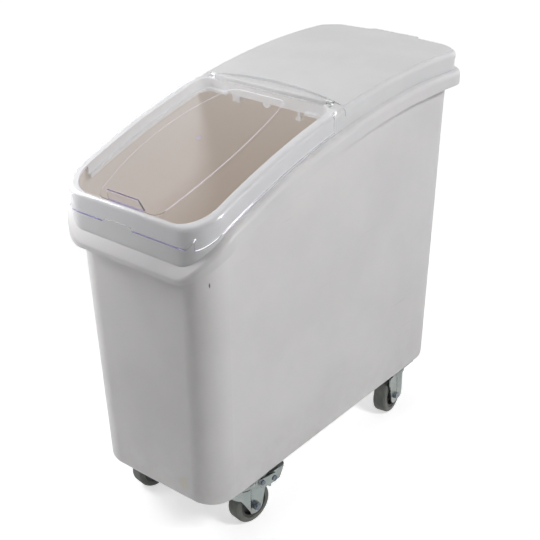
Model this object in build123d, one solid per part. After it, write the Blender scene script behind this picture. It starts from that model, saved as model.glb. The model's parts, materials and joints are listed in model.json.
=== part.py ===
"""Rolling ingredient bin: slant-top tub, two-part lid and four swivel casters."""
from build123d import *
import os
from math import asin, degrees, sqrt

# Driving dimensions in millimetres. The low front faces -Y and the floor is z = 0.
rim_width = 334.0
rim_length = 736.0
rim_corner = 67.0
caster_height = 99.0

# Curve of the slanted top, an arc seen from the side
crown_height = 727.0
crown_back = 205.0
crown_radius = 1485.0

# Tub with a rolled flange
wall = 3.5
draft_angle = 1.3
foot_side_inset = 31.5
foot_front_inset = 31.3
foot_rear_inset = 44.0
tub_corner = 50.0
foot_fillet = 12.0
rim_top_depth = 2.0
ledge_depth = 27.0
lip_depth = 51.0
front_drop_run = 78.0
front_ledge_depth = 70.5
front_lip_depth = 78.5
flange_fillet = 8.0

# White main lid
lid_wall = 3.5
lid_side_inset = 13.0
lid_end_inset = 10.0
lid_corner = 50.0
lid_rise = 6.0
lid_fillet = 8.0
skirt_step = 1.5
roll_depth = 7.0
seat_gap = 0.5
seam_back = -13.0
opening_side_inset = 30.0
opening_front_inset = 14.0
opening_back = -24.0
opening_front_corner = 50.0
opening_rear_corner = 22.0
opening_lip_depth = 21.0
bead_width = 6.0
bead_height = 5.0
bead_break = 168.0
panel_inset = 8.5
panel_front = -9.0
panel_bow = 20.0
panel_rise = 0.7
panel_crown = 4.0
panel_sweep = 20.0
tab_width = 102.0
tab_depth = 18.0
tab_reach = 4.0
tab_rise = 4.0
hook_pitch = 68.0
hook_drop = 12.0
hook_width = 16.0
hook_pin_width = 5.0

# Clear front flap
flap_wall = 3.0
flap_gap = 0.4
flap_step = 3.5
flap_side_depth = 20.0
flap_front_depth = 23.5
flap_fillet = 8.5
flap_front_corner = 53.0
flap_rear_corner = 25.0
flap_skirt_end = -45.0
corner_notch_front = 11.0
corner_notch_rise = 20.0
corner_gusset = 30.0
notch_width = 54.0
notch_rise = 6.0
notch_flare = 6.0
notch_centre = -18.0
tongue_rise = 0.9
tongue_rear_half = 55.0
tongue_wide_half = 81.0
tongue_front_half = 64.0
tongue_rear_inset = 27.0
tongue_front_inset = 6.0
tongue_wide_run = 127.0
tongue_fillet = 17.0
rib_width = 67.0
rib_flare = 5.0
rib_drop = 21.0
rib_inset = 24.0
rib_centre = -27.0

# Hinge of the flap
hinge_back = -15.0
hinge_height = 4.2
rail_radius = 3.8
rail_side_inset = 48.0
pin_radius = 1.75
pin_seat = 15.0
ear_length = 10.0
ear_reach = 16.0
hinge_play = 0.4
edge_relief = 5.5

# Swivel casters, each with its plate under the tub
caster_side_inset = 67.0
caster_front_inset = 138.0
caster_rear_inset = 132.0
trail = 16.0
plate_length = 84.0
plate_width = 58.0
plate_thickness = 2.5
plate_corner = 8.0
bolt_length_pitch = 60.0
bolt_width_pitch = 32.0
bolt_radius = 3.0
bolt_head_radius = 6.5
bolt_head_height = 3.0
nut_flats = 10.0
nut_height = 5.0
sheet = 2.5
head_radius = 26.0
neck_drop = 4.0
race_gap = 5.0
race_radius = 18.0
ball_count = 8
ball_play = 0.1
cover_drop = 4.0
kingpin_radius = 5.5
kingpin_head_radius = 9.0
kingpin_head_height = 4.5
fit = 0.06

# Wheels
wheel_radius = 38.0
tread_width = 27.0
tread_fillet = 5.0
core_radius = 27.5
hub_radius = 11.0
web_thickness = 7.0
rim_thickness = 4.5
leg_gap = 2.5
leg_end_radius = 17.0
axle_radius = 4.0
axle_flats = 13.0
axle_head = 5.0
axle_nut = 6.5
sleeve_wall = 2.0

# Brake of the front right and rear left casters
arm_sheet = 2.0
rivet_radius = 3.0
rivet_head = 5.0
rivet_head_height = 1.8
fixing_along = 32.0
fixing_height = 79.0
pivot_along = 60.0
pivot_height = 74.0
pedal_sheet = 2.5
pedal_end = 90.0
pedal_half_width = 18.0
shoe_back = 7.0
shoe_drop = 18.0
shoe_nose = 5.0
arm_margin = 8.0

# Way each wheel trails, in degrees clockwise from straight back, seen from above
wheel_angle = {"front_left": 189.0, "front_right": 8.0, "rear_left": 20.0, "rear_right": 172.0}
braked = ("front_right", "rear_left")

# Step between neighbouring edges that must not fall together, and how far a cutting arc runs past its end
small_step = 1.0
run_out_angle = 2.0

# Measures that follow from the driving dimensions
half_width = rim_width / 2
front_y = -rim_length / 2
rear_y = rim_length / 2
span = 0.75 * rim_length
low = caster_height
high = crown_height + caster_height
lid_half = half_width - lid_side_inset
skirt_half = lid_half - skirt_step
lid_front = front_y + lid_end_inset
lid_rear = rear_y - lid_end_inset
flap_half = skirt_half + flap_step
flap_front = lid_front - flap_step
flap_under = lid_rise + flap_gap
flap_top = flap_under + flap_wall
rail_half = half_width - rail_side_inset
opening_half = half_width - opening_side_inset
opening_front = front_y + opening_front_inset
drop_start = front_y + front_drop_run
plate_under = caster_height - plate_thickness
yoke_top = plate_under - race_gap
leg_inner = tread_width / 2 + leg_gap
leg_outer = leg_inner + sheet
os.makedirs("parts", exist_ok=True)


def arc_height(y, offset=0.0):
    """Height of the top curve at y, moved outward by offset."""
    return crown_height - crown_radius + sqrt((crown_radius + offset) ** 2 - (y - crown_back) ** 2)


def hinge_axis():
    """Height of the flap's hinge axis."""
    return arc_height(hinge_back, lid_rise) + hinge_height


def closed(*curves):
    """Flat face inside a closed run of curves."""
    return make_face([edge for curve in curves for edge in curve.edges()])


def slab_below(offset, drop=None):
    """Everything under the moved top curve; with drop the curve falls to that height at the front."""
    front = -span if drop is None else drop_start
    start = (0, front, arc_height(front, offset))
    crown = (0, crown_back, arc_height(crown_back, offset))
    end = (0, span, arc_height(span, offset))
    edges = [ThreePointArc(start, crown, end)]
    tip = start
    if drop is not None:
        slope = (crown_back - front) / sqrt((crown_radius + offset) ** 2 - (front - crown_back) ** 2)
        fall = TangentArc(start, (0, front_y, drop), tangent=(0, -1, -slope))
        spoke = (fall @ 1 - fall.arc_center).rotate(Axis.X, run_out_angle)
        tip = fall.arc_center + spoke
        edges.append(ThreePointArc(start, fall @ 1, tip))
        edges.append(Line(tip, (0, -span, tip.Z)))
        tip = (0, -span, tip.Z)
    edges.append(Polyline(tip, (0, -span, 0), (0, span, 0), end))
    return extrude(closed(*edges), rim_width, both=True)


def outline(half, front, rear, front_corner, rear_corner):
    """Flat plan shape, symmetrical about the middle, with its own corner radius at each end."""
    flat = Pos(0, (front + rear) / 2) * Rectangle(2 * half, rear - front)
    rows = flat.vertices().group_by(Axis.Y)
    if front_corner:
        flat = fillet(rows[0], front_corner)
        rows = flat.vertices().group_by(Axis.Y)
    if rear_corner:
        flat = fillet(rows[-1], rear_corner)
    return flat


def column(flat):
    """A plan shape raised from the height of the casters to above the lids."""
    return extrude(Pos(0, 0, low) * flat, high - low)


def crossways(points, half):
    """A side-view polygon of (y, z) points made solid across X, half to each side."""
    face = make_face(Polyline(*[(0, y, z) for y, z in points], close=True))
    return extrude(face, half, both=True)


def rod(radius, x_start, x_end, y, z):
    """A round rod along X."""
    return Pos((x_start + x_end) / 2, y, z) * Rot(0, 90, 0) * Cylinder(radius, x_end - x_start)


def top_edges(solid, keep=lambda edge: True):
    """Outer edges of the faces that look up."""
    uses = {}
    for face in solid.faces():
        if face.normal_at().Z > 0.3:
            for edge in face.edges():
                uses[edge] = uses.get(edge, 0) + 1
    return [edge for edge, count in uses.items() if count == 1 and keep(edge)]


# Tub
def tub_block(inset, foot):
    """Block with flat drafted walls and round corners, standing on the foot height."""
    half = half_width - foot_side_inset - inset
    front = front_y + foot_front_inset + inset
    rear = rear_y - foot_rear_inset - inset
    block = extrude(Pos(0, 0, foot) * outline(half, front, rear, 0, 0), high - foot)
    walls = [face for face in block.faces() if abs(face.normal_at().Z) < 0.5]
    block = draft(walls, Plane.XY.offset(caster_height), -draft_angle)
    corners = [edge for edge in block.edges() if abs(edge.tangent_at(0.5).Z) > 0.5]
    return fillet(corners, tub_corner - inset)


def caster_places():
    """Kingpin place of each caster by name."""
    side = half_width - caster_side_inset
    front = front_y + caster_front_inset
    rear = rear_y - caster_rear_inset
    return {
        "front_left": (-side, front),
        "front_right": (side, front),
        "rear_left": (-side, rear),
        "rear_right": (side, rear),
    }


def bolt_places():
    """Middles of the sixteen plate bolts."""
    steps = [(i * bolt_width_pitch / 2, j * bolt_length_pitch / 2) for i in (-1, 1) for j in (-1, 1)]
    return [(x + i, y + j) for x, y in caster_places().values() for i, j in steps]


def make_tub():
    """Thin tub with an upstanding rim and a flange that rolls out and down around it."""
    block = tub_block(0, caster_height)
    block = fillet(block.edges().group_by(Axis.Z)[0], foot_fillet)
    hollow = tub_block(wall, caster_height + wall)
    hollow = fillet(hollow.edges().group_by(Axis.Z)[0], foot_fillet - wall)
    ledge = slab_below(-ledge_depth, arc_height(front_y) - front_ledge_depth)
    lip = slab_below(-lip_depth, arc_height(front_y) - front_lip_depth)
    rolled = column(outline(half_width, front_y, rear_y, rim_corner, rim_corner)) & ledge
    rolled = fillet(top_edges(rolled), flange_fillet)
    corner = rim_corner - wall
    inner = column(outline(half_width - wall, front_y + wall, rear_y - wall, corner, corner))
    inner = fillet(top_edges(inner & ledge), flange_fillet - wall)
    channel = Pos(0, wall, -wall) * inner & Pos(0, -wall / 2, 0) * inner
    flange = rolled - channel - lip
    tub = (block & slab_below(-rim_top_depth)) + flange - hollow
    for x, y in bolt_places():
        tub -= Pos(x, y, caster_height) * Cylinder(bolt_radius + fit, 4 * wall)
    return tub


# White main lid
def front_form():
    """Front half of the lid, which the flap covers."""
    rear = seam_back + tab_depth
    block = column(outline(skirt_half, lid_front, rear, lid_corner, 0)) & slab_below(lid_rise)
    return fillet(top_edges(block, lambda e: e.center().Y < rear - small_step), lid_fillet)


def rear_form():
    """Rear half of the lid with a rolled edge that stands proud of the skirt below it."""
    block = column(outline(lid_half, seam_back, lid_rear, 0, lid_corner)) & slab_below(lid_rise)
    block = fillet(top_edges(block, lambda e: e.center().Y > seam_back + small_step), lid_fillet)
    skirt = column(outline(skirt_half, seam_back, lid_rear - skirt_step, 0, lid_corner - skirt_step))
    return block - (slab_below(-roll_depth) - skirt)


def inner_form():
    """Hollow of the lid."""
    corner = lid_corner - lid_wall
    flat = outline(lid_half - lid_wall, lid_front + lid_wall, lid_rear - lid_wall, corner, corner)
    block = column(flat) & slab_below(lid_rise - lid_wall)
    return fillet(top_edges(block), lid_fillet - lid_wall)


def crowned_panel():
    """Crowned rear panel with a bowed front end; its surface turns about the axis of the top curve."""
    half = lid_half - panel_inset
    rear = lid_rear - panel_inset
    corner = lid_corner - panel_inset
    bow = ThreePointArc((-half, panel_front), (0, panel_front + panel_bow), (half, panel_front))
    sides = Polyline((half, panel_front), (half, rear), (-half, rear), (-half, panel_front))
    flat = fillet(closed(bow, sides).vertices().group_by(Axis.Y)[-1], corner)
    base = crown_height + lid_rise - lid_wall / 2
    rise = crown_height + lid_rise + panel_rise
    profile = ThreePointArc((-half, 0, rise), (0, 0, rise + panel_crown), (half, 0, rise))
    sides = Polyline((half, 0, rise), (half, 0, base), (-half, 0, base), (-half, 0, rise))
    ring_axis = Axis((0, 0, crown_height - crown_radius), (1, 0, 0))
    ring = revolve(closed(profile, sides), ring_axis, 2 * panel_sweep).rotate(ring_axis, -panel_sweep)
    return column(flat) & Pos(0, crown_back, 0) * ring


def lid_hooks():
    """Three small hooks of different form that hang from the drop wall of the crossbar."""
    y = opening_back + lid_wall / 2
    edge = arc_height(opening_back, lid_rise) - opening_lip_depth
    root = hook_drop + lid_wall
    middle = edge + lid_wall - root / 2
    catch = Pos(-hook_pitch, y + hook_width / 2, middle) * Box(hook_width, hook_width, root)
    tab = Pos(0, y, edge) * Rot(90, 0, 0) * Cylinder(hook_width / 2, lid_wall)
    pin = Pos(hook_pitch, y, middle) * Box(hook_pin_width, lid_wall, root)
    pin += Pos(hook_pitch, y, edge - hook_drop) * Box(2 * hook_pin_width, 2 * lid_wall, hook_pin_width)
    return catch + tab + pin


def make_main_lid():
    """White lid with its framed opening, hinge rail, crowned panel, hooks and lift tab."""
    skirt_end = Pos(0, 0, seat_gap) * slab_below(-ledge_depth, arc_height(front_y) - front_ledge_depth)
    form = front_form() + rear_form()
    lid = form - inner_form() - skirt_end
    frame = (opening_front_corner, opening_rear_corner)
    hole = column(outline(opening_half, opening_front, opening_back, *frame))
    lip_front = opening_front + opening_front_corner
    collar = opening_rear_corner + lid_wall
    rim = outline(opening_half + lid_wall, lip_front, opening_back + lid_wall, 0, collar)
    lip_end = slab_below(lid_rise - opening_lip_depth)
    lip = (column(rim) & slab_below(lid_rise)) - lip_end
    bead_corner = opening_rear_corner - bead_width
    inside = outline(opening_half - bead_width, opening_front, opening_back - bead_width, 0, bead_corner)
    bead = (column(rim) & slab_below(lid_rise - opening_lip_depth + bead_height)) - lip_end - column(inside)
    bead -= Pos(0, opening_back, high / 2) * Box(bead_break, 4 * bead_width, high)
    lid = lid + lip - hole + bead + crowned_panel() + lid_hooks()
    tab = Pos(0, lid_rear + tab_reach - tab_depth / 2) * RectangleRounded(tab_width, tab_depth, tab_reach)
    lid += (column(tab) & slab_below(lid_rise + tab_rise)) - slab_below(lid_rise - lid_wall / 2)
    lid += rod(rail_radius, -rail_half, rail_half, hinge_back, hinge_axis())
    foot = hinge_height + lid_wall / 2
    lid += Pos(0, hinge_back, hinge_axis() - foot / 2) * Box(2 * rail_half, 2 * rail_radius, foot)
    for side in (-1, 1):
        ends = sorted((side * (rail_half - pin_seat), side * 2 * rail_half))
        lid -= rod(pin_radius + fit, *ends, hinge_back, hinge_axis())
    return lid


def hinge_pin(side):
    """Pin through an ear of the flap into one end of the hinge rail."""
    inner = rail_half - pin_seat + hinge_play
    outer = rail_half + hinge_play + ear_length
    return rod(pin_radius, *sorted((side * inner, side * outer)), hinge_back, hinge_axis())


# Clear front flap
def flap_block(inset, offset, edge):
    """Outer or inner form of the flap, rounded over along its front and sides."""
    rear = hinge_back - edge_relief
    front_corner = flap_front_corner - inset
    flat = outline(flap_half - inset, flap_front + inset, rear, front_corner, flap_rear_corner)
    block = column(flat) & slab_below(offset)
    return fillet(top_edges(block, lambda e: e.center().Y < rear - small_step), edge)


def behind(y):
    """Everything behind the given place."""
    return Pos(0, y + span, 0) * Box(rim_width, 2 * span, 2 * high)


def make_flap():
    """Clear flap with skirt, corner gussets, finger notch, tongue step, finger rib and hinge ears."""
    flap = flap_block(0, flap_top, flap_fillet) - flap_block(flap_wall, flap_under, flap_fillet - flap_wall)
    hem = arc_height(flap_front) - flap_front_depth
    step = flap_front + corner_notch_front
    side_front = step + corner_gusset
    front_cut = [(front_y, low), (front_y, hem), (flap_front + flap_wall, hem)]
    front_cut += [(step, hem + corner_notch_rise), (step, hem)]
    front_cut += [(side_front, arc_height(side_front, -flap_side_depth)), (side_front, low)]
    flap -= crossways(front_cut, half_width)
    flap -= slab_below(-flap_side_depth) & behind(side_front)
    flap -= slab_below(flap_under) & behind(flap_skirt_end)
    notch = hanging_plate(notch_width, 2 * notch_flare, 2 * notch_rise, 3 * flap_wall)
    flap -= Pos(notch_centre, flap_front, hem + notch_rise) * notch
    flap += tongue_step() + finger_rib()
    inner = rail_half + hinge_play
    for side in (-1, 1):
        web = Rectangle(ear_length, ear_reach)
        web = Pos(side * (inner + ear_length / 2), hinge_back - ear_reach / 2) * web
        ear = (column(web) & slab_below(flap_top)) - slab_below(flap_under)
        ends = sorted((side * inner, side * (inner + ear_length)))
        ear += rod(rail_radius, *ends, hinge_back, hinge_axis())
        flap += ear - rod(pin_radius + fit, *ends, hinge_back, hinge_axis())
    return flap


def tongue_step():
    """Low step in the shape of a tongue on top of the flap, with bowed sides."""
    front = flap_front + tongue_front_inset
    rear = hinge_back - tongue_rear_inset
    wide = front + tongue_wide_run
    right = [(tongue_rear_half, rear), (tongue_wide_half, wide), (tongue_front_half, front)]
    left = [(-x, y) for x, y in right]
    ends = Line(right[0], left[0]), Line(right[2], left[2])
    flat = closed(ThreePointArc(*right), ThreePointArc(*left), *ends)
    flat = fillet(flat.vertices(), tongue_fillet)
    return (column(flat) & slab_below(flap_top + tongue_rise)) - slab_below(flap_under)


def hanging_plate(width, flare, drop, thickness):
    """Upright plate that hangs from the origin and widens by the flare on each side."""
    top = width / 2
    low_edge = top + flare
    corners = [(-top, 0, 0), (top, 0, 0), (low_edge, 0, -drop), (-low_edge, 0, -drop)]
    return extrude(make_face(Polyline(*corners, close=True)), thickness / 2, both=True)


def finger_rib():
    """Rib that hangs square to the underside of the flap, to hold it by from below."""
    y = flap_front + rib_inset
    root = flap_wall / 2
    tilt = degrees(asin((crown_back - y) / (crown_radius + flap_under)))
    rib = hanging_plate(rib_width, rib_flare, root + rib_drop, flap_wall)
    return Pos(rib_centre, y, arc_height(y, flap_under + root)) * Rot(tilt, 0, 0) * rib


# Swivel casters, drawn about the kingpin with the trail along +Y
def make_plate():
    """Top plate with a ring that covers the balls."""
    flat = RectangleRounded(plate_width, plate_length, plate_corner)
    plate = extrude(Pos(0, 0, plate_under) * flat, plate_thickness)
    cover_radius = head_radius - small_step
    cover = Pos(0, 0, plate_under - cover_drop / 2) * Cylinder(cover_radius, cover_drop)
    plate += cover - Pos(0, 0, plate_under) * Cylinder(cover_radius - sheet, 2 * race_gap)
    plate -= Pos(0, 0, plate_under) * Cylinder(kingpin_radius + fit, 4 * plate_thickness)
    for i in (-1, 1):
        for j in (-1, 1):
            place = Pos(i * bolt_width_pitch / 2, j * bolt_length_pitch / 2, plate_under)
            plate -= place * Cylinder(bolt_radius + fit, 4 * plate_thickness)
    return plate


def make_kingpin():
    """Rivet that holds the yoke under the plate."""
    head_top = yoke_top - sheet - fit
    end = caster_height - fit
    pin = Pos(0, 0, (head_top + end) / 2) * Cylinder(kingpin_radius, end - head_top)
    head = Cylinder(kingpin_head_radius, kingpin_head_height)
    return pin + Pos(0, 0, head_top - kingpin_head_height / 2) * head


def make_balls():
    """Ring of balls between plate and yoke, each with few facets because it is hidden."""
    across = race_gap - 2 * ball_play
    cube = Box(across, across, across)
    ball = chamfer(cube.edges(), across * (1 - sqrt(0.5)))
    places = PolarLocations(race_radius, ball_count)
    return Compound([Pos(0, 0, yoke_top + race_gap / 2) * place * ball for place in places])


def yoke_form(inset):
    """Plan of the yoke: round in front, flat legs behind."""
    nose = head_radius - sheet - inset
    half = leg_outer - inset
    back = trail + leg_end_radius + head_radius
    arc = ThreePointArc((nose, 0), (0, -nose), (-nose, 0))
    flat = trail - arm_margin
    sides = Polyline((-nose, 0), (-half, flat), (-half, back), (half, back), (half, flat), (nose, 0))
    return column_at(closed(arc, sides), 0, yoke_top - neck_drop - inset)


def column_at(flat, bottom, top):
    """A plan shape raised between two heights."""
    return extrude(Pos(0, 0, bottom) * flat, top - bottom, dir=(0, 0, 1))


def make_yoke(drilled):
    """Pressed fork: raised ball race, closed front and two legs; drilled ones hold a brake bracket."""
    neck = yoke_top - neck_drop
    ear = fixing_along + arm_margin
    low_front = wheel_radius + head_radius - sheet
    side = [(-head_radius, neck), (ear - sheet, neck), (ear, neck - sheet)]
    side += [(ear, fixing_height - 2 * rivet_head), (trail + leg_end_radius, wheel_radius)]
    round_start = leg_end_radius * sqrt(0.5)
    side += [(trail - round_start, wheel_radius - round_start), (-trail, low_front)]
    side += [(-head_radius, low_front)]
    legs = crossways(side, head_radius) + rod(leg_end_radius, -head_radius, head_radius, trail, wheel_radius)
    yoke = yoke_form(0) & legs - yoke_form(sheet)
    head = Pos(0, 0, neck - sheet + (neck_drop + sheet) / 2) * Cylinder(head_radius, neck_drop + sheet)
    yoke += head
    yoke -= Pos(0, 0, neck - sheet) * Cylinder(head_radius - sheet, 2 * neck_drop)
    yoke -= Pos(0, 0, yoke_top) * Cylinder(kingpin_radius + fit, 4 * sheet)
    yoke -= rod(axle_radius + fit, -head_radius, head_radius, trail, wheel_radius)
    if drilled:
        yoke -= rod(rivet_radius + fit, -head_radius, head_radius, fixing_along, fixing_height)
    return yoke


def hexagon_rod(flats, x_start, x_end, y, z):
    """A hexagonal bar along X."""
    face = RegularPolygon(flats / 2, 6, major_radius=False)
    place = Pos(x_start, y, z) * Rot(0, 90, 0)
    return extrude(place * face, x_end - x_start, dir=(1, 0, 0))


def make_axle_bolt():
    """Hexagon bolt through both legs."""
    end = leg_outer + axle_nut + sheet / 2
    bolt = rod(axle_radius, -leg_outer - fit, end, trail, wheel_radius)
    return bolt + hexagon_rod(axle_flats, -leg_outer - axle_head - fit, -leg_outer - fit, trail, wheel_radius)


def make_axle_nut():
    """Nut on the free end of the axle bolt."""
    nut = hexagon_rod(axle_flats, leg_outer + fit, leg_outer + fit + axle_nut, trail, wheel_radius)
    return nut - rod(axle_radius + fit, 0, 2 * leg_outer, trail, wheel_radius)


def make_sleeve():
    """Tube on the axle bolt that the wheel turns on."""
    tube = rod(axle_radius + sleeve_wall, -leg_inner + fit, leg_inner - fit, trail, wheel_radius)
    return tube - rod(axle_radius + fit, -leg_inner, leg_inner, trail, wheel_radius)


def turned(points):
    """Ring around the axle from (x, radius) points."""
    face = make_face(Polyline(*[(x, trail, wheel_radius + r) for x, r in points], close=True))
    return revolve(face, Axis((0, trail, wheel_radius), (1, 0, 0)), 360)


def make_core():
    """Wheel core: hub, web and rim."""
    hub = leg_inner - leg_gap / 4
    web = web_thickness / 2
    rim = tread_width / 2 - rim_thickness / 3
    bore = axle_radius + sleeve_wall + fit
    right = [(hub, bore), (hub, hub_radius), (web, hub_radius + sleeve_wall)]
    right += [(web, core_radius - rim_thickness - small_step), (rim, core_radius - rim_thickness)]
    right += [(rim, core_radius)]
    return turned(right + [(-x, r) for x, r in reversed(right)])


def make_tyre():
    """Tyre with rounded shoulders."""
    half = tread_width / 2
    bore = core_radius + fit
    ring = turned([(-half, bore), (half, bore), (half, wheel_radius), (-half, wheel_radius)])
    outer = ring.edges().filter_by(GeomType.CIRCLE).sort_by(SortBy.RADIUS)[-2:]
    return fillet(outer, tread_fillet)


def make_bracket():
    """Brake bracket: an arm outside each leg and a bridge above the wheel that joins them."""
    top = yoke_top - neck_drop
    under = pivot_height - 1.5 * rivet_head
    front = fixing_along - arm_margin
    rear = pivot_along + arm_margin
    arm = [(front, top), (rear - rivet_head, top - sheet), (rear, pivot_height)]
    arm += [(rear - rivet_head, under), (fixing_along, under), (front, top - 2 * rivet_head)]
    inner = leg_outer + fit
    bracket = crossways(arm, inner + arm_sheet) - crossways(arm, inner)
    bridge_start = fixing_along + 2 * rivet_head
    bridge = [(bridge_start, top - 2 * sheet), (bridge_start + rivet_head, top - 2 * sheet)]
    bridge += [(bridge_start + rivet_head, top - 3 * sheet), (bridge_start, top - 3 * sheet)]
    bracket += crossways(bridge, inner + arm_sheet)
    holes = rod(rivet_radius + fit, -head_radius, head_radius, fixing_along, fixing_height)
    holes += rod(rivet_radius + fit, -head_radius, head_radius, pivot_along, pivot_height)
    return bracket - holes


def make_fixings():
    """Rivets that hold the bracket to the legs."""
    outer = leg_outer + fit + arm_sheet + fit
    rivets = []
    for side in (-1, 1):
        shank = sorted((side * (leg_inner - fit), side * outer))
        rivet = rod(rivet_radius, *shank, fixing_along, fixing_height)
        cap = sorted((side * outer, side * (outer + rivet_head_height)))
        rivet += rod(rivet_head, *cap, fixing_along, fixing_height)
        stop = sorted((side * (leg_inner - fit), side * (leg_inner - fit - rivet_head_height / 2)))
        rivets.append(rivet + rod(rivet_head - small_step, *stop, fixing_along, fixing_height))
    return Compound(rivets)


def make_pivot():
    """Cross pin that the pedal turns on."""
    outer = leg_outer + 2 * fit + arm_sheet
    pin = rod(rivet_radius, -outer, outer, pivot_along, pivot_height)
    for side in (-1, 1):
        cap = sorted((side * outer, side * (outer + rivet_head_height)))
        pin += rod(rivet_head, *cap, pivot_along, pivot_height)
    return pin


def make_pedal():
    """Pedal: a foot pad, two cheeks on the pivot and a shoe that swings against the tread."""
    pad_front = pivot_along - rivet_head
    top = yoke_top - neck_drop
    pad = [(pad_front, top - pedal_sheet), (pedal_end, top), (pedal_end, top + pedal_sheet), (pad_front, top)]
    plate = crossways(pad, pedal_half_width)
    corners = plate.edges().filter_by(Axis.Z).group_by(Axis.Y)[-1]
    plate = fillet(corners, pedal_half_width / 2)
    heel = pivot_height - 2 * rivet_head
    cheek = [(pad_front, top - pedal_sheet / 2), (pedal_end - rivet_head, top)]
    cheek += [(pedal_end - 3 * rivet_head, heel + pedal_sheet), (pivot_along, heel)]
    cheek += [(pad_front - small_step, heel + rivet_head)]
    half = pedal_half_width
    pedal = plate + crossways(cheek, half) - crossways(cheek, half - pedal_sheet)
    nose = pivot_along - shoe_back
    tip = pivot_height - shoe_drop
    shoe = [(nose, tip), (nose + shoe_nose, tip - pedal_sheet)]
    shoe += [(pivot_along + small_step, pivot_height), (pad_front - small_step, pivot_height)]
    pedal += crossways(shoe, tread_width / 2)
    pedal += rod(rivet_head, -half, half, pivot_along, pivot_height)
    return pedal - rod(rivet_radius + fit, -half, half, pivot_along, pivot_height)


# Fasteners of the plates
def make_bolts():
    """Round-headed bolts through the floor of the tub."""
    floor = caster_height + wall
    end = plate_under - nut_height - small_step
    bolts = []
    for x, y in bolt_places():
        bolt = Pos(x, y, (floor + end) / 2) * Cylinder(bolt_radius, floor - end + 2 * fit)
        head = Pos(x, y, floor + fit + bolt_head_height / 2) * Cylinder(bolt_head_radius, bolt_head_height)
        bolts.append(bolt + chamfer(head.edges().group_by(Axis.Z)[-1], bolt_head_height / 2))
    return Compound(bolts)


def make_nuts():
    """Hexagon nuts under the plates."""
    nut = extrude(RegularPolygon(nut_flats / 2, 6, major_radius=False), nut_height)
    nut -= Cylinder(bolt_radius + fit, 4 * nut_height)
    return Compound([Pos(x, y, plate_under - fit - nut_height) * nut for x, y in bolt_places()])


def save(shape, name):
    """Write one piece under its own name."""
    export_step(shape, f"parts/{name}.step")


save(make_tub(), "bin_body")
save(make_main_lid(), "main_lid")
save(make_flap(), "front_lid")
save(hinge_pin(-1), "hinge_pin_left")
save(hinge_pin(1), "hinge_pin_right")
save(make_bolts(), "plate_bolts")
save(make_nuts(), "plate_nuts")

fixed_pieces = {"caster_plate": make_plate(), "kingpin": make_kingpin()}
turning_pieces = {
    "bearing_balls": make_balls(),
    "axle_bolt": make_axle_bolt(),
    "axle_nut": make_axle_nut(),
    "axle_sleeve": make_sleeve(),
    "wheel_core": make_core(),
    "tyre": make_tyre(),
}
brake_pieces = {
    "brake_bracket": make_bracket(),
    "brake_rivets": make_fixings(),
    "brake_pin": make_pivot(),
    "brake_pedal": make_pedal(),
}
yokes = {True: make_yoke(True), False: make_yoke(False)}
for corner, (x, y) in caster_places().items():
    place = Pos(x, y, 0)
    turn = place * Rot(0, 0, -wheel_angle[corner])
    for name, piece in fixed_pieces.items():
        save(place * piece, f"{name}_{corner}")
    for name, piece in turning_pieces.items():
        save(turn * piece, f"{name}_{corner}")
    save(turn * yokes[corner in braked], f"yoke_{corner}")
    if corner in braked:
        for name, piece in brake_pieces.items():
            save(turn * piece, f"{name}_{corner}")
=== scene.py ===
# %% [markdown]
# A rolling ingredient bin, dressed for its picture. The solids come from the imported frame, in metres:
# the low front with the clear flap looks along -Y, +Z is up and the wheels stand on z = 0.
# Every piece already has its shape and its body, so this lesson gives each one its finish,
# then sets the floor and the light. The camera comes first.

# %% Load the frame
import json
import math

import bpy
from mathutils import Matrix, Vector

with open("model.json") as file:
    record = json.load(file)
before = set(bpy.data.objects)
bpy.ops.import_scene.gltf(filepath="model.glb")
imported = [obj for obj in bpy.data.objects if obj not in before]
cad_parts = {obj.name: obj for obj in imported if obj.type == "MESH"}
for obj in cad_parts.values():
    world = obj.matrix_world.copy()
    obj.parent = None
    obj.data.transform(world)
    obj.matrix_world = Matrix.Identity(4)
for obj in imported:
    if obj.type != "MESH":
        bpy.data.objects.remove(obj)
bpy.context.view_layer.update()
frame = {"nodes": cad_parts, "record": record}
nodes = frame["nodes"]

# %% [markdown]
# The picture was taken from the front right and from above, about two metres away with a long lens.
# A camera can be aimed with a constraint, but a rotation built from three axes keeps the small tilt of
# the picture and gives the same matrix on every run.

# %% Camera
camera_place = Vector((1.1565, -1.4244, 1.3267))
look_at = Vector((-0.0199, 0.0026, 0.3669))
camera_roll = math.radians(-0.85)
lens_mm, sensor_mm, far_clip = 76.29, 36.0, 60.0

back = (camera_place - look_at).normalized()
level_right = Vector((0, 0, 1)).cross(back).normalized()
level_up = back.cross(level_right)
camera_right = level_right * math.cos(camera_roll) + level_up * math.sin(camera_roll)
camera_up = level_up * math.cos(camera_roll) - level_right * math.sin(camera_roll)
turn = Matrix((camera_right, camera_up, back)).transposed().to_4x4()

camera_data = bpy.data.cameras.new("bin_camera")
camera_data.lens = lens_mm
camera_data.sensor_width = sensor_mm
camera_data.clip_end = far_clip
camera = bpy.data.objects.new("bin_camera", camera_data)
bpy.context.scene.collection.objects.link(camera)
camera.matrix_world = Matrix.Translation(camera_place) @ turn
bpy.context.scene.camera = camera
print("camera distance", round((camera_place - look_at).length, 3))

# %% [markdown]
# Node trees are long when every node is made by hand. A few small helpers keep them readable. The first
# sets or links one input, the second adds a node, and the others wrap the nodes that are used most.

# %% Helpers for node trees
def plug(tree, node, name, value):
    """Sets the named or numbered input of a node to a value, or links a socket to it."""
    if isinstance(value, bpy.types.NodeSocket):
        tree.links.new(value, node.inputs[name])
    else:
        node.inputs[name].default_value = value


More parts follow.
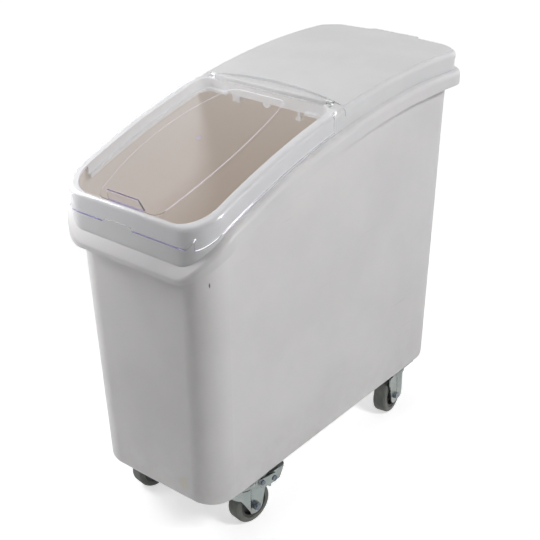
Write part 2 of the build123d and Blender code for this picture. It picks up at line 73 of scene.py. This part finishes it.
def add_node(tree, kind, settings=None, **inputs):
    """A new node; settings are its properties, inputs are values or sockets for its named inputs."""
    node = tree.nodes.new(kind)
    for name, value in (settings or {}).items():
        setattr(node, name, value)
    for name, value in inputs.items():
        plug(tree, node, name.replace("_", " "), value)
    return node


def math_node(tree, operation, first, second=0.0, clamp=False):
    """One Math node, returned as its output socket."""
    node = add_node(tree, "ShaderNodeMath", {"operation": operation, "use_clamp": clamp})
    plug(tree, node, 0, first)
    plug(tree, node, 1, second)
    return node.outputs[0]


def ramp(tree, value, low, high, low_out=0.0, high_out=1.0):
    """A smooth step from low_out at low to high_out at high; low may also be the larger of the two."""
    node = add_node(tree, "ShaderNodeMapRange", {"interpolation_type": "SMOOTHSTEP"}, Value=value,
                    From_Min=low, From_Max=high, To_Min=low_out, To_Max=high_out)
    return node.outputs["Result"]


def mix_colour(tree, amount, first, second):
    """A blend of two colours, as an output socket."""
    node = add_node(tree, "ShaderNodeMix", {"data_type": "RGBA"})
    for number, value in ((0, amount), (6, first), (7, second)):
        plug(tree, node, number, value)
    return node.outputs[2]


def noise(tree, point, scale, **inputs):
    """The grey value of a noise texture at a point, as a socket."""
    return add_node(tree, "ShaderNodeTexNoise", Vector=point, Scale=scale, **inputs).outputs["Fac"]


def here(tree):
    """The point on the object, in metres in the frame, as a socket."""
    return tree.nodes.new("ShaderNodeTexCoord").outputs["Object"]


def axes(tree, vector):
    """The X, Y and Z of a vector, as three sockets."""
    split = add_node(tree, "ShaderNodeSeparateXYZ", Vector=vector)
    return split.outputs["X"], split.outputs["Y"], split.outputs["Z"]


print("node helpers ready")

# %% [markdown]
# Skin and wear turn up on several materials. Blender can keep such an effect in a node group: it is built
# once, has named sockets like any other node, and each material sets its own sizes on it.

# %% Helpers for effects
def new_effect(name, inputs, outputs):
    """A shader node group with named value sockets; returns its tree, its input and its output node."""
    tree = bpy.data.node_groups.new(name, "ShaderNodeTree")
    for label, value in inputs.items():
        socket = tree.interface.new_socket(label, in_out="INPUT", socket_type="NodeSocketFloat")
        socket.default_value = value
    for label in outputs:
        tree.interface.new_socket(label, in_out="OUTPUT", socket_type="NodeSocketFloat")
    return tree, tree.nodes.new("NodeGroupInput"), tree.nodes.new("NodeGroupOutput")


def place_effect(tree, effect, **inputs):
    """One use of an effect group in a material."""
    return add_node(tree, "ShaderNodeGroup", {"node_tree": effect}, **inputs)


print("effect helpers ready")

# %% [markdown]
# Injection-moulded polyethylene is never quite flat. It has a fine pebble from the mould, slow waves
# from cooling and cloudy patches where the melt was thicker. The white and black plastics and the rubber
# share this effect, each with its own sizes, so it is one node group.

# %% Effect: moulded skin
skin_sizes = {"Pebble Scale": 900.0, "Wave Scale": 7.0}
pebble_share = 0.12

moulded_skin, skin_in, skin_out = new_effect("moulded_skin", skin_sizes, ("Height", "Cloud"))
skin_point = here(moulded_skin)
pebble = noise(moulded_skin, skin_point, skin_in.outputs["Pebble Scale"], Detail=2.0)
wave = noise(moulded_skin, skin_point, skin_in.outputs["Wave Scale"], Detail=3.0, Roughness=0.55)
height = math_node(moulded_skin, "ADD", wave, math_node(moulded_skin, "MULTIPLY", pebble, pebble_share))
moulded_skin.links.new(height, skin_out.inputs["Height"])
moulded_skin.links.new(wave, skin_out.inputs["Cloud"])
print("effect", moulded_skin.name)

# %% [markdown]
# Kitchen bins are bumped by trolleys and scoops. A scuff is a thin line with a start and an end, so a
# noise is stretched along one way to make lines, and a second, slower noise lets only some show.

# %% Effect: scuff marks
scuff_sizes = {"Length": 9.0, "Fineness": 260.0, "Amount": 0.5}
scuff_tilt = (0.35, 0.5, 0.2)
line_band, patch_band, patch_scale = (0.70, 0.76), (0.52, 0.68), 5.5

scuff_marks, scuff_in, scuff_out = new_effect("scuff_marks", scuff_sizes, ("Mask",))
scuff_point = here(scuff_marks)
stretch = scuff_marks.nodes.new("ShaderNodeCombineXYZ")
for axis, label in (("X", "Length"), ("Y", "Length"), ("Z", "Fineness")):
    scuff_marks.links.new(scuff_in.outputs[label], stretch.inputs[axis])
tilted = add_node(scuff_marks, "ShaderNodeMapping", Vector=scuff_point, Rotation=scuff_tilt,
                  Scale=stretch.outputs[0])
line_mask = ramp(scuff_marks, noise(scuff_marks, tilted.outputs[0], 1.0, Detail=1.0), *line_band)
patch_mask = ramp(scuff_marks, noise(scuff_marks, scuff_point, patch_scale, Detail=2.0), *patch_band)
both_masks = math_node(scuff_marks, "MULTIPLY", line_mask, patch_mask)
scuff_mask = math_node(scuff_marks, "MULTIPLY", both_masks, scuff_in.outputs["Amount"], True)
scuff_marks.links.new(scuff_mask, scuff_out.inputs["Mask"])
print("effect", scuff_marks.name)

# %% [markdown]
# Dust and mop water reach only the lowest part of a bin. The effect reads the height above the floor
# and breaks the edge of the dirt with noise, so it never makes a straight line.

# %% Effect: floor dust
dust_sizes = {"Top": 0.20, "Amount": 0.5}
speck_scale, speck_band = 38.0, (0.35, 0.7)

floor_dust, dust_in, dust_out = new_effect("floor_dust", dust_sizes, ("Mask",))
dust_point = here(floor_dust)
specks = noise(floor_dust, dust_point, speck_scale, Detail=5.0, Roughness=0.65)
depth = math_node(floor_dust, "SUBTRACT", dust_in.outputs["Top"], axes(floor_dust, dust_point)[2])
share = math_node(floor_dust, "DIVIDE", depth, dust_in.outputs["Top"], True)
broken = math_node(floor_dust, "MULTIPLY", share, ramp(floor_dust, specks, *speck_band))
dust_mask = math_node(floor_dust, "MULTIPLY", broken, dust_in.outputs["Amount"], True)
floor_dust.links.new(dust_mask, dust_out.inputs["Mask"])
print("effect", floor_dust.name)

# %% [markdown]
# A finish is a material with one Principled BSDF. Nearly all of them need a colour, a roughness and a
# bump, so one helper starts the material and another wires these three in.

# %% Helpers for finishes
def new_finish(name):
    """An empty material with its Principled BSDF wired to the output."""
    material = bpy.data.materials.new(name)
    material.use_nodes = True
    tree = material.node_tree
    tree.nodes.clear()
    shader = tree.nodes.new("ShaderNodeBsdfPrincipled")
    output = tree.nodes.new("ShaderNodeOutputMaterial")
    tree.links.new(shader.outputs["BSDF"], output.inputs["Surface"])
    return material, tree, shader


def wire_surface(tree, shader, colour, rough, height=None, strength=0.0, distance=0.001):
    """Wires a colour, a roughness and, where there is a height, a bump into the shader."""
    tree.links.new(colour, shader.inputs["Base Color"])
    tree.links.new(rough, shader.inputs["Roughness"])
    if height is not None:
        bump = add_node(tree, "ShaderNodeBump", Height=height, Strength=strength, Distance=distance)
        tree.links.new(bump.outputs["Normal"], shader.inputs["Normal"])


print("finish helpers ready")

# %% [markdown]
# The tub is white polyethylene. Outside it is a cool satin white with faint clouds, scuffs and a little
# floor dust. Each of these is a mask that blends one more colour over the last one.

# %% Finish: tub, outside
tub_outside = (0.774, 0.764, 0.772, 1.0)
tub_cloud = (0.740, 0.730, 0.742, 1.0)
scuff_grey = (0.55, 0.545, 0.54, 1.0)
dust_brown = (0.50, 0.46, 0.40, 1.0)
cloud_band = (0.35, 0.65)

tub_white, tree, shader = new_finish("tub_white")
point = here(tree)
skin = place_effect(tree, moulded_skin, Pebble_Scale=1100.0, Wave_Scale=6.0)
scuffs = place_effect(tree, scuff_marks, Length=7.0, Fineness=300.0, Amount=0.5)
dust = place_effect(tree, floor_dust, Top=0.22, Amount=0.30)
colour = mix_colour(tree, ramp(tree, skin.outputs["Cloud"], *cloud_band), tub_outside, tub_cloud)
colour = mix_colour(tree, scuffs.outputs["Mask"], colour, scuff_grey)
colour = mix_colour(tree, dust.outputs["Mask"], colour, dust_brown)
print("tub colour so far", len(tree.nodes), "nodes")

# %% [markdown]
# The bin in the picture has two marks of its own: a short dark scratch on the front right corner and a
# pale yellow stain low on the front. A painted map could hold them, but a soft mask round one place does
# it with three radii. The scratch is thin, so the point is turned first to run along the round corner.

# %% Finish: tub, marks
scratch_dark = (0.13, 0.12, 0.11, 1.0)
stain_yellow = (0.70, 0.67, 0.52, 1.0)
scratch_place, scratch_radii = (0.135, -0.327, 0.525), (0.0014, 0.020, 0.0055)
scratch_turn = math.radians(-45)
stain_place, stain_radii, stain_strength = (0.068, -0.338, 0.135), (0.012, 0.012, 0.016), 0.5
spot_rim = (1.0, 0.5)


def vector_node(tree, operation, first, second=(0.0, 0.0, 0.0)):
    """One Vector Math node, returned as its output socket."""
    node = add_node(tree, "ShaderNodeVectorMath", {"operation": operation})
    plug(tree, node, 0, first)
    plug(tree, node, 1, second)
    return node.outputs["Value" if operation in ("DOT_PRODUCT", "LENGTH") else "Vector"]


def spot(tree, point, middle, radii):
    """A soft mask round one place on the object, as large as its three radii."""
    apart = vector_node(tree, "SUBTRACT", point, middle)
    size = vector_node(tree, "LENGTH", vector_node(tree, "DIVIDE", apart, radii))
    return ramp(tree, size, *spot_rim)


along_corner = add_node(tree, "ShaderNodeVectorRotate", {"rotation_type": "Z_AXIS"}, Vector=point,
                        Center=scratch_place, Angle=scratch_turn)
scratch = spot(tree, along_corner.outputs[0], scratch_place, scratch_radii)
stain = spot(tree, point, stain_place, stain_radii)
colour = mix_colour(tree, scratch, colour, scratch_dark)
colour = mix_colour(tree, math_node(tree, "MULTIPLY", stain, stain_strength), colour, stain_yellow)
print("marks at", scratch_place, stain_place)

# %% [markdown]
# Light that has come through the milky wall is warm, so the inner faces lean to a pale tan: they get a
# darker grey as painted shade and a warm glow as painted light. A wall is inner when its normal points
# towards the middle of the tub, which a dot product tells without any painted map, and the inner floor is
# what looks up near the bottom. The glow stands in for that warm light, because following it through a
# thick wall would take far longer to render.

# %% Finish: tub, inside, with painted shade and light
inside_painted_shade = (0.45, 0.45, 0.46, 1.0)
inside_painted_light = (0.142, 0.103, 0.069, 1.0)
no_light = (0.0, 0.0, 0.0, 1.0)
tub_half_width, tub_half_length = 0.1515, 0.352
inward_limit, upward_limit, floor_top = -0.004, 0.5, 0.13


def all_of(tree, *masks):
    """The product of some masks: 1 only where every one of them is 1."""
    product = masks[0]
    for mask in masks[1:]:
        product = math_node(tree, "MULTIPLY", product, mask)
    return product


def within(tree, value, half):
    """1 where a value is less than half away from zero."""
    return math_node(tree, "LESS_THAN", math_node(tree, "ABSOLUTE", value), half)


x, y, z = axes(tree, point)
normal = add_node(tree, "ShaderNodeNewGeometry").outputs["Normal"]
inward = vector_node(tree, "DOT_PRODUCT", normal, vector_node(tree, "MULTIPLY", point, (1.0, 1.0, 0.0)))
wall_inner = math_node(tree, "LESS_THAN", inward, inward_limit)
looks_up = math_node(tree, "GREATER_THAN", axes(tree, normal)[2], upward_limit)
floor_inner = all_of(tree, looks_up, math_node(tree, "LESS_THAN", z, floor_top))
inner = math_node(tree, "ADD", wall_inner, floor_inner, True)
inner = all_of(tree, inner, within(tree, x, tub_half_width), within(tree, y, tub_half_length))
# Inner faces: a darker grey as painted shade, and a warm glow as painted light.
colour = mix_colour(tree, inner, colour, inside_painted_shade)
tree.links.new(mix_colour(tree, inner, no_light, inside_painted_light), shader.inputs["Emission Color"])
shader.inputs["Emission Strength"].default_value = 1.0
print("inner faces within", tub_half_width, tub_half_length)

# %% [markdown]
# Polyethylene lets light in a little way and sends it out again, which softens every edge. Subsurface
# scattering does that; red goes furthest, so its reach is the longest. Scuffs are rougher than the skin
# round them, and a faint bump lets the highlights waver.

# %% Finish: tub, surface
plastic_index, milk_weight, milk_depth = 1.5, 0.35, 0.006
rough_band = (0.3, 0.7)
tub_rough, scuff_rough = (0.36, 0.46), 0.2
tub_reach = (1.0, 0.85, 0.75)


def make_milky(shader, reach):
    """Lets some light into a white plastic; reach says how far red, green and blue get."""
    shader.inputs["IOR"].default_value = plastic_index
    shader.inputs["Subsurface Weight"].default_value = milk_weight
    shader.inputs["Subsurface Radius"].default_value = reach
    shader.inputs["Subsurface Scale"].default_value = milk_depth


rough = ramp(tree, skin.outputs["Cloud"], *rough_band, *tub_rough)
rough = math_node(tree, "ADD", rough, math_node(tree, "MULTIPLY", scuffs.outputs["Mask"], scuff_rough))
wire_surface(tree, shader, colour, rough, skin.outputs["Height"], strength=0.10, distance=0.004)
make_milky(shader, tub_reach)
print("finish", tub_white.name)

# %% [markdown]
# The white lid is the same family of plastic, a little brighter and smoother because it is cleaned most.
# It needs no dust and no inner colour, only the skin and a few fine scuffs.

# %% Finish: white lid
lid_bright = (0.79, 0.79, 0.80, 1.0)
lid_cloud = (0.765, 0.765, 0.775, 1.0)
lid_rough = (0.30, 0.40)
lid_reach = (1.0, 0.95, 0.9)

lid_white, tree, shader = new_finish("lid_white")
skin = place_effect(tree, moulded_skin, Pebble_Scale=1300.0, Wave_Scale=9.0)
scuffs = place_effect(tree, scuff_marks, Length=11.0, Fineness=380.0, Amount=0.25)
colour = mix_colour(tree, ramp(tree, skin.outputs["Cloud"], *cloud_band), lid_bright, lid_cloud)
colour = mix_colour(tree, scuffs.outputs["Mask"], colour, scuff_grey)
rough = ramp(tree, skin.outputs["Cloud"], *rough_band, *lid_rough)
wire_surface(tree, shader, colour, rough, skin.outputs["Height"], strength=0.06, distance=0.004)
make_milky(shader, lid_reach)
print("finish", lid_white.name)

# %% [markdown]
# The flap is clear polycarbonate, and its parts look different: the hem of the front skirt, the finger
# rib under the sheet and the tongue-shaped step. The sheet follows one arc, so the distance from the
# arc's centre tells how far a point stands above the sheet or hangs below it. With that and with limits
# in X, Y and Z the finish finds each part without a painted map.

# %% Finish: clear flap, its parts
curve_centre_y, curve_centre_z, curve_radius = 0.205, -0.758, 1.485
tongue_half, tongue_front, tongue_rear = 0.088, -0.342, -0.040
rib_front, rib_rear, rib_left, rib_right = -0.345, -0.320, -0.075, 0.020
hem_height, rib_depth, band = 0.5912, -0.0146, 0.0012


def between(tree, value, low, high):
    """1 where a value lies between two limits."""
    above_low = math_node(tree, "GREATER_THAN", value, low)
    return all_of(tree, above_low, math_node(tree, "LESS_THAN", value, high))


flap_clear, tree, shader = new_finish("flap_clear")
point = here(tree)
x, y, z = axes(tree, point)
along = math_node(tree, "SUBTRACT", y, curve_centre_y)
above = math_node(tree, "SUBTRACT", z, curve_centre_z)
squares = math_node(tree, "MULTIPLY", along, along)
squares = math_node(tree, "ADD", squares, math_node(tree, "MULTIPLY", above, above))
reach = math_node(tree, "SUBTRACT", math_node(tree, "SQRT", squares), curve_radius)
# The hem and the finger rib are found here for the painted violet shade on their edges.
hem_shade_mask = math_node(tree, "LESS_THAN", z, hem_height + band)
hem_shade_mask = all_of(tree, hem_shade_mask, math_node(tree, "LESS_THAN", y, rib_front))
on_rib = all_of(tree, between(tree, y, rib_front, rib_rear), between(tree, x, rib_left, rib_right))
on_tongue = all_of(tree, within(tree, x, tongue_half), between(tree, y, tongue_front, tongue_rear),
                   math_node(tree, "GREATER_THAN", reach, 0.0))
print("flap parts found with", len(tree.nodes), "nodes")

# %% [markdown]
# Light that enters a clear sheet runs along inside it and comes out at the cut edges; here that light and
# its shade are painted. A rounded normal differs from the true one only near a sharp edge, so comparing
# the two finds every edge. The tongue step's edges glow pale as a painted highlight, and the rim's edges
# get a grey as painted shade. The hem, the free edges of the finger rib and the small gate mark, where the
# plastic entered the mould, get a dark violet as painted shade, and the gate mark a faint glow as a
# painted glint.

# %% Finish: clear flap, painted light and shade at its edges
clear_tint = (0.942, 0.940, 0.955, 1.0)
rim_painted_shade = (0.52, 0.50, 0.60, 1.0)
violet_painted_shade = (0.20, 0.16, 0.50, 1.0)
step_painted_highlight = (0.46, 0.44, 0.58, 1.0)
edge_width, edge_band, rib_side_band = 0.0012, (0.985, 0.90), (0.6, 0.8)
gate_place, gate_radii = (-0.006, -0.186, 0.680), (0.0055, 0.006, 0.040)
gate_shade_share, gate_glint_share = 0.60, 0.27

normal = add_node(tree, "ShaderNodeNewGeometry").outputs["Normal"]
rounded = add_node(tree, "ShaderNodeBevel", {"samples": 4}, Radius=edge_width)
edges = ramp(tree, vector_node(tree, "DOT_PRODUCT", rounded.outputs["Normal"], normal), *edge_band)
step_highlight_mask = all_of(tree, edges, on_tongue)
rim_shade_mask = math_node(tree, "SUBTRACT", edges, step_highlight_mask, True)
rim_shade_mask = all_of(tree, rim_shade_mask, math_node(tree, "LESS_THAN", y, tongue_rear))
rib_foot = math_node(tree, "LESS_THAN", reach, rib_depth + band)
rib_side = ramp(tree, math_node(tree, "ABSOLUTE", axes(tree, normal)[0]), *rib_side_band)
rib_shade_mask = all_of(tree, on_rib, math_node(tree, "MAXIMUM", rib_foot, rib_side))
gate = spot(tree, point, gate_place, gate_radii)
violet_shade_mask = math_node(tree, "MAXIMUM", hem_shade_mask, rib_shade_mask)
violet_shade_mask = math_node(tree, "MAXIMUM", violet_shade_mask, math_node(tree, "MULTIPLY", gate, gate_shade_share))
painted_glow_mask = math_node(tree, "MAXIMUM", step_highlight_mask, math_node(tree, "MULTIPLY", gate, gate_glint_share))
# Painted shade: grey on the rim's edges, dark violet on the hem, the rib's free edges and the gate mark.
colour = mix_colour(tree, rim_shade_mask, clear_tint, rim_painted_shade)
colour = mix_colour(tree, violet_shade_mask, colour, violet_painted_shade)
# Painted highlight: a pale glow on the tongue step's edges and a faint glint on the gate mark.
tree.links.new(mix_colour(tree, painted_glow_mask, no_light, step_painted_highlight), shader.inputs["Emission Color"])
shader.inputs["Emission Strength"].default_value = 1.0
print("edges up to", edge_width, "m wide, gate mark at", gate_place)

# %% [markdown]
# The sheet itself is plain clear plastic: full transmission and hairline scratches in the roughness. Its
# index is a little lower than that of polycarbonate, which keeps the reflections as faint as in the
# picture. Shadow and diffuse rays see no flap at all, which is how a thin clear sheet lets daylight into
# the tub. A ray that has turned twice inside the sheet, or has crossed many faces, would end black at the
# edges, so it passes too. The finger rib is left out of that, because there it would show as a white blot.

# %% Finish: clear flap, its sheet
flap_index, flap_rough = 1.45, (0.03, 0.20)
most_crossings, most_turns = 4.5, 1.5

hairlines = place_effect(tree, scuff_marks, Length=14.0, Fineness=520.0, Amount=0.8)
wire_surface(tree, shader, colour, ramp(tree, hairlines.outputs["Mask"], 0.0, 1.0, *flap_rough))
shader.inputs["Transmission Weight"].default_value = 1.0
shader.inputs["IOR"].default_value = flap_index
path = tree.nodes.new("ShaderNodeLightPath")
passing = math_node(tree, "ADD", path.outputs["Is Shadow Ray"], path.outputs["Is Diffuse Ray"], True)
trapped = math_node(tree, "GREATER_THAN", path.outputs["Transmission Depth"], most_crossings)
turned = math_node(tree, "GREATER_THAN", path.outputs["Glossy Depth"], most_turns)
turned = all_of(tree, turned, math_node(tree, "SUBTRACT", 1.0, on_rib))
passing = math_node(tree, "MAXIMUM", passing, math_node(tree, "MAXIMUM", trapped, turned))
unseen = tree.nodes.new("ShaderNodeBsdfTransparent")
choice = add_node(tree, "ShaderNodeMixShader", Fac=passing)
tree.links.new(shader.outputs["BSDF"], choice.inputs[1])
tree.links.new(unseen.outputs["BSDF"], choice.inputs[2])
tree.links.new(choice.outputs["Shader"], tree.nodes["Material Output"].inputs["Surface"])
print("finish", flap_clear.name)

# %% [markdown]
# Bright zinc plate is steel with a thin bluish coat. It is cloudy at the scale of a fingertip and shows
# the fine grain of the rolled sheet. Noise drives both colour and roughness, so the highlights break up.

# %% Finish: zinc plate
zinc_blue = (0.285, 0.325, 0.320, 1.0)
zinc_grey = (0.255, 0.28, 0.268, 1.0)
zinc_rough = (0.20, 0.32)
zinc_cloud_scale, zinc_grain_scale = 28.0, 1500.0

zinc_plate, tree, shader = new_finish("zinc_plate")
point = here(tree)
cloud = noise(tree, point, zinc_cloud_scale, Detail=3.0, Roughness=0.5)
grain = noise(tree, point, zinc_grain_scale, Detail=1.0)
dust = place_effect(tree, floor_dust, Top=0.12, Amount=0.30)
colour = mix_colour(tree, ramp(tree, cloud, *cloud_band), zinc_blue, zinc_grey)
colour = mix_colour(tree, dust.outputs["Mask"], colour, dust_brown)
rough = ramp(tree, cloud, *rough_band, *zinc_rough)
wire_surface(tree, shader, colour, rough, grain, strength=0.04)
shader.inputs["Metallic"].default_value = 1.0
print("finish", zinc_plate.name)

# %% [markdown]
# Bolts, nuts, pins and rivets come from another plating bath than the pressed sheet, and they look darker
# and bluer than it. They get the same kind of cloud, at the size of a bolt head.

# %% Finish: bolt zinc
bolt_blue = (0.115, 0.140, 0.180, 1.0)
bolt_grey = (0.200, 0.215, 0.225, 1.0)
bolt_cloud_scale, bolt_rough = 160.0, (0.18, 0.30)

bolt_zinc, tree, shader = new_finish("bolt_zinc")
shade = ramp(tree, noise(tree, here(tree), bolt_cloud_scale, Detail=2.0), *cloud_band)
colour = mix_colour(tree, shade, bolt_blue, bolt_grey)
wire_surface(tree, shader, colour, ramp(tree, shade, 0.0, 1.0, *bolt_rough))
shader.inputs["Metallic"].default_value = 1.0
print("finish", bolt_zinc.name)

# %% [markdown]
# The hidden balls are polished steel. They still get a finish of their own, with a trace of grease that
# dulls part of each ball.

# %% Finish: bearing steel
ball_steel = (0.63, 0.63, 0.64, 1.0)
ball_grease = (0.36, 0.33, 0.27, 1.0)
grease_scale, grease_band, ball_rough = 240.0, (0.45, 0.65), (0.12, 0.35)

bearing_steel, tree, shader = new_finish("ball_bearing_steel")
film = ramp(tree, noise(tree, here(tree), grease_scale, Detail=2.0), *grease_band)
colour = mix_colour(tree, film, ball_steel, ball_grease)
wire_surface(tree, shader, colour, ramp(tree, film, 0.0, 1.0, *ball_rough))
shader.inputs["Metallic"].default_value = 1.0
print("finish", bearing_steel.name)

# %% [markdown]
# The tyres are grey thermoplastic rubber. Rubber is matt, picks up dust and shows pale rub marks where
# it rolls, so it uses the skin, the scuffs and the floor dust together.

# %% Finish: grey rubber
rubber_grey = (0.122, 0.130, 0.116, 1.0)
rubber_pale = (0.172, 0.180, 0.166, 1.0)
rub_mark = (0.26, 0.255, 0.24, 1.0)
rubber_band, rubber_rough = (0.35, 0.7), (0.55, 0.75)

grey_rubber, tree, shader = new_finish("tyre_rubber")
skin = place_effect(tree, moulded_skin, Pebble_Scale=1600.0, Wave_Scale=45.0)
scuffs = place_effect(tree, scuff_marks, Length=60.0, Fineness=500.0, Amount=0.6)
dust = place_effect(tree, floor_dust, Top=0.07, Amount=0.18)
colour = mix_colour(tree, ramp(tree, skin.outputs["Cloud"], *rubber_band), rubber_grey, rubber_pale)
colour = mix_colour(tree, scuffs.outputs["Mask"], colour, rub_mark)
colour = mix_colour(tree, dust.outputs["Mask"], colour, dust_brown)
rough = ramp(tree, skin.outputs["Cloud"], *rough_band, *rubber_rough)
wire_surface(tree, shader, colour, rough, skin.outputs["Height"], strength=0.15)
print("finish", grey_rubber.name)

# %% [markdown]
# The wheel cores are black polypropylene, shinier than the tyre. A faint grey bloom of dust keeps the
# black from looking like a hole.

# %% Finish: black core
core_black = (0.020, 0.020, 0.022, 1.0)
core_bloom = (0.050, 0.049, 0.047, 1.0)
core_band, core_rough = (0.4, 0.7), (0.38, 0.52)

core_plastic, tree, shader = new_finish("core_plastic")
skin = place_effect(tree, moulded_skin, Pebble_Scale=1400.0, Wave_Scale=60.0)
dust = place_effect(tree, floor_dust, Top=0.09, Amount=0.15)
colour = mix_colour(tree, ramp(tree, skin.outputs["Cloud"], *core_band), core_black, core_bloom)
colour = mix_colour(tree, dust.outputs["Mask"], colour, dust_brown)
rough = ramp(tree, skin.outputs["Cloud"], *rough_band, *core_rough)
wire_surface(tree, shader, colour, rough, skin.outputs["Height"], strength=0.10)
print("finish", core_plastic.name)

# %% [markdown]
# Each node takes the finish of its material slot in the record. Two kinds of pieces share a slot with
# others and still look different: the white lid is not quite the tub's white, and the bolts are not the
# zinc of the pressed sheet. Those have a finish of their own.

# %% Give every node its finish
slot_finish = {
    "white_polyethylene": tub_white,
    "clear_polycarbonate": flap_clear,
    "zinc_steel": zinc_plate,
    "bearing_steel": bearing_steel,
    "black_plastic": core_plastic,
    "grey_rubber": grey_rubber,
}
own_finish = {"main_lid": lid_white}
bolt_names = ("axle_bolt", "axle_nut", "brake_pin", "brake_rivets", "plate_bolts", "plate_nuts")
own_finish.update({name: bolt_zinc for name in nodes if name.startswith(bolt_names)})
slot_of = {entry["node"]: entry["material_slot"] for entry in frame["record"]["subparts"]}
for name, node in nodes.items():
    finish = own_finish.get(name, slot_finish[slot_of[name]])
    node.data.materials.clear()
    node.data.materials.append(finish)
print("dressed", len(nodes), "nodes")

# %% [markdown]
# The floor is a large pale sheet. It should look pure white to the camera and still keep the shadow, so
# it adds a glow for camera, glossy and transmission rays to an ordinary matt white. The lamps light the
# floor less the farther it is from the bin, so the glow grows with the distance and the two together stay
# near white. The glow lights nothing else.

# %% Floor
floor_half = 15.0
floor_matt = (0.80, 0.80, 0.80, 1.0)
pure_white = (1.0, 1.0, 1.0, 1.0)
near_glow = (0.6, 4.0, 0.58, 0.88)  # from and to, in metres from the bin, and the glow at both
far_glow = (3.0, 7.0, 0.0, 0.12)


def shown_rays(tree):
    """1 for rays that show a thing to the camera: straight, mirrored or through the clear flap."""
    path = tree.nodes.new("ShaderNodeLightPath")
    shown = math_node(tree, "ADD", path.outputs["Is Camera Ray"], path.outputs["Is Glossy Ray"])
    return math_node(tree, "ADD", shown, path.outputs["Is Transmission Ray"], True)


floor_mesh = bpy.data.meshes.new("studio_floor")
corners = [(-floor_half, -floor_half, 0), (floor_half, -floor_half, 0),
           (floor_half, floor_half, 0), (-floor_half, floor_half, 0)]
floor_mesh.from_pydata(corners, [], [(0, 1, 2, 3)])
studio_floor = bpy.data.objects.new("studio_floor", floor_mesh)
bpy.context.scene.collection.objects.link(studio_floor)

floor_paper = bpy.data.materials.new("floor_paper")
floor_paper.use_nodes = True
tree = floor_paper.node_tree
tree.nodes.clear()
matt = add_node(tree, "ShaderNodeBsdfDiffuse", Color=floor_matt)
distance = vector_node(tree, "LENGTH", here(tree))
whiteness = math_node(tree, "ADD", ramp(tree, distance, *near_glow), ramp(tree, distance, *far_glow))
strength = math_node(tree, "MULTIPLY", shown_rays(tree), whiteness)
glow = add_node(tree, "ShaderNodeEmission", Color=pure_white, Strength=strength)
sum_of_both = tree.nodes.new("ShaderNodeAddShader")
tree.links.new(matt.outputs[0], sum_of_both.inputs[0])
tree.links.new(glow.outputs[0], sum_of_both.inputs[1])
output = tree.nodes.new("ShaderNodeOutputMaterial")
tree.links.new(sum_of_both.outputs[0], output.inputs["Surface"])
floor_mesh.materials.append(floor_paper)
print("floor", studio_floor.name)

# %% [markdown]
# In the picture the long side is the brightest wall, the front is darker and the corner between them is
# darkest. A soft box high on the right lights the long side, and two small ones near the front left shade
# the front wall and its flange from left to right. Larger ones on the left, above and behind are weaker
# on the bin. They light the lids and the inside of the tub and soften the shadows.

# %% Light
middle = (0.0, 0.0, 0.4)
soft_boxes = {  # place and size in metres, power in watts
    "right_box": ((2.3, 0.0, 2.4), 0.8, 49.0),
    "left_front_box": ((-0.7, -0.6, 0.95), 0.4, 4.2),
    "low_left_box": ((-0.55, -0.62, 0.68), 0.3, 0.8),
    "left_box": ((-3.0, 0.0, 1.6), 1.8, 24.0),
    "top_box": ((-1.2, 0.3, 2.9), 4.0, 18.0),
    "back_box": ((0.4, 3.0, 1.5), 1.6, 12.0),
}


def soft_box(name, place, aim, size, power):
    """A large square area lamp that looks at a point."""
    data = bpy.data.lights.new(name, "AREA")
    data.shape = "SQUARE"
    data.size = size
    data.energy = power
    lamp = bpy.data.objects.new(name, data)
    bpy.context.scene.collection.objects.link(lamp)
    lamp.location = place
    lamp.rotation_euler = (Vector(aim) - Vector(place)).to_track_quat("-Z", "Y").to_euler()


for name, (place, size, power) in soft_boxes.items():
    soft_box(name, place, middle, size, power)

# %% [markdown]
# The world is plain white where the camera sees it, in a mirror or through the clear flap too. As a light
# it is nearly dark, so that the soft boxes alone shape the bin. The Standard view keeps white as white.

# %% World
fill_level, shown_level = 0.02, 1.0

world = bpy.data.worlds.new("studio")
bpy.context.scene.world = world
world.use_nodes = True
tree = world.node_tree
tree.nodes.clear()
strength = ramp(tree, shown_rays(tree), 0.0, 1.0, fill_level, shown_level)
sky = add_node(tree, "ShaderNodeBackground", Color=pure_white, Strength=strength)
output = tree.nodes.new("ShaderNodeOutputWorld")
tree.links.new(sky.outputs[0], output.inputs["Surface"])
bpy.context.scene.view_settings.view_transform = "Standard"
print("world", world.name, "fill", fill_level)
